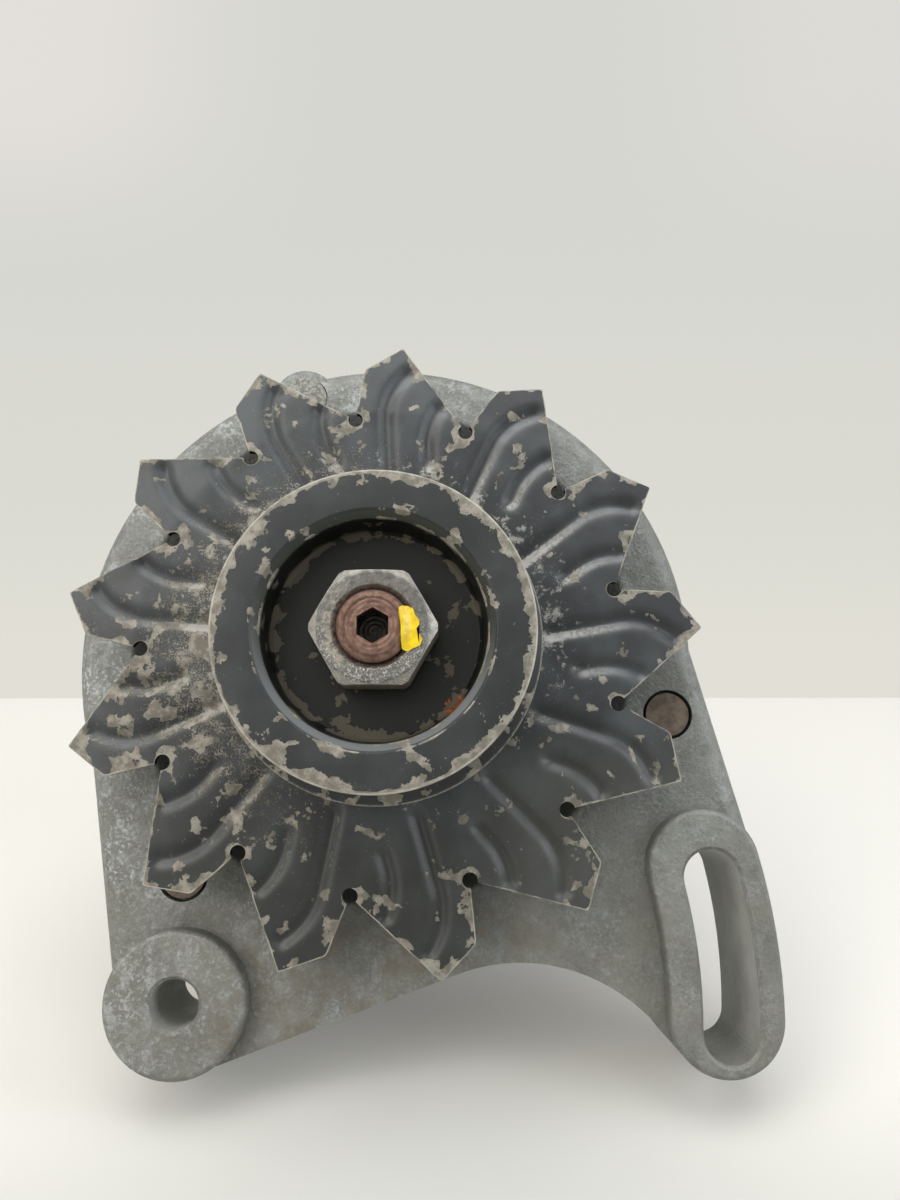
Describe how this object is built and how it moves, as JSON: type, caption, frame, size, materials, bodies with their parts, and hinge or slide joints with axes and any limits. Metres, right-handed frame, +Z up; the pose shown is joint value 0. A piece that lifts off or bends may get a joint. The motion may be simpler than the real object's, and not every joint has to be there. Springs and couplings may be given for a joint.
{
  "type": "engine alternator",
  "caption": "Belt-driven engine alternator with a ribbed hook-bladed cooling fan, a deep pulley, a pivot lug and a slotted adjusting ear.",
  "frame": {"origin": "on the shaft axis, in the middle plane of the belt groove", "axes": "+Y along the shaft from the pulley to the rear, +Z up with both lugs below the shaft, +X to the right as seen from the pulley"},
  "size_m": [0.1571, 0.1522, 0.1616],
  "materials": {
    "cast_aluminium": "rough bead-blasted casting, grimy in the corners",
    "slate_paint": "worn slate blue-grey paint, chipped to bare metal",
    "bare_steel": "bare mottled steel",
    "rusty_steel": "bare steel with a brown rust film",
    "bearing_steel": "ground and polished",
    "laminated_steel": "varnished laminations",
    "pole_iron": "forged, dark",
    "copper_winding": "varnished copper wire",
    "ring_copper": "turned copper, satin",
    "black_plastic": "moulded, matte",
    "brown_plastic": "moulded phenolic",
    "seal_rubber": "matte",
    "carbon": "pressed carbon, dull",
    "sink_aluminium": "plain rolled sheet and extrusion",
    "terminal_brass": "plain stamped"
  },
  "bodies": {
    "housing": {"drive_end_bracket": "cast_aluminium", "slip_ring_end_bracket": "cast_aluminium", "front_bearing_outer_race": "bearing_steel", "front_bearing_seals": "seal_rubber", "rear_bearing_outer_race": "bearing_steel", "rear_bearing_seals": "seal_rubber", "bearing_retainer": "bare_steel", "retainer_screws": "bare_steel", "stator_core": "laminated_steel", "stator_winding": "copper_winding", "through_bolts": "rusty_steel", "through_bolt_nuts": "bare_steel", "negative_heat_sink": "sink_aluminium", "positive_heat_sink": "sink_aluminium", "negative_diodes": "bearing_steel", "positive_diodes": "bearing_steel", "rectifier_bushes": "brown_plastic", "rectifier_screws": "bare_steel", "battery_stud": "bare_steel", "battery_bush": "brown_plastic", "battery_washer": "bare_steel", "battery_nut": "bare_steel", "brush_holder": "black_plastic", "front_brush_spring": "bearing_steel", "rear_brush_spring": "bearing_steel", "regulator": "sink_aluminium", "holder_screws": "bare_steel", "warning_lamp_tab": "terminal_brass"},
    "rotor": {"pulley": "slate_paint", "rotor_shaft": "rusty_steel", "pulley_nut": "bare_steel", "nut_washer": "bare_steel", "cooling_fan": "slate_paint", "fan_spacer": "bare_steel", "front_bearing_inner_race": "bearing_steel", "rear_bearing_inner_race": "bearing_steel", "front_claw_pole": "pole_iron", "rear_claw_pole": "pole_iron", "field_core": "pole_iron", "coil_bobbin": "black_plastic", "field_coil": "copper_winding", "slip_ring_sleeve": "brown_plastic", "slip_ring_front": "ring_copper", "slip_ring_rear": "ring_copper"},
    "front_ball_set": {"front_bearing_balls": "bearing_steel", "front_bearing_cage": "terminal_brass"},
    "rear_ball_set": {"rear_bearing_balls": "bearing_steel", "rear_bearing_cage": "terminal_brass"},
    "front_brush": {"front_brush": "carbon"},
    "rear_brush": {"rear_brush": "carbon"}
  },
  "joints": [
    {"name": "rotor_spin", "type": "hinge", "parent": "housing", "child": "rotor", "pos_m": [0, 0, 0], "axis": [0, 1, 0], "continuous": true},
    {"name": "front_balls_orbit", "type": "hinge", "parent": "housing", "child": "front_ball_set", "pos_m": [0, 0.03429, 0], "axis": [0, 1, 0], "continuous": true},
    {"name": "rear_balls_orbit", "type": "hinge", "parent": "housing", "child": "rear_ball_set", "pos_m": [0, 0.11929, 0], "axis": [0, 1, 0], "continuous": true},
    {"name": "front_brush_slide", "type": "slide", "parent": "housing", "child": "front_brush", "axis": [0, 0, 1], "range_m": [0, 0.005], "stiffness_N_per_m": 200, "springref_m": -0.012, "deforming": ["front_brush_spring"]},
    {"name": "rear_brush_slide", "type": "slide", "parent": "housing", "child": "rear_brush", "axis": [0, 0, 1], "range_m": [0, 0.005], "stiffness_N_per_m": 200, "springref_m": -0.012, "deforming": ["rear_brush_spring"]}
  ],
  "couplings": [
    {"joint": "front_balls_orbit", "follows": "rotor_spin", "ratio": 0.3658},
    {"joint": "rear_balls_orbit", "follows": "rotor_spin", "ratio": 0.3801}
  ]
}
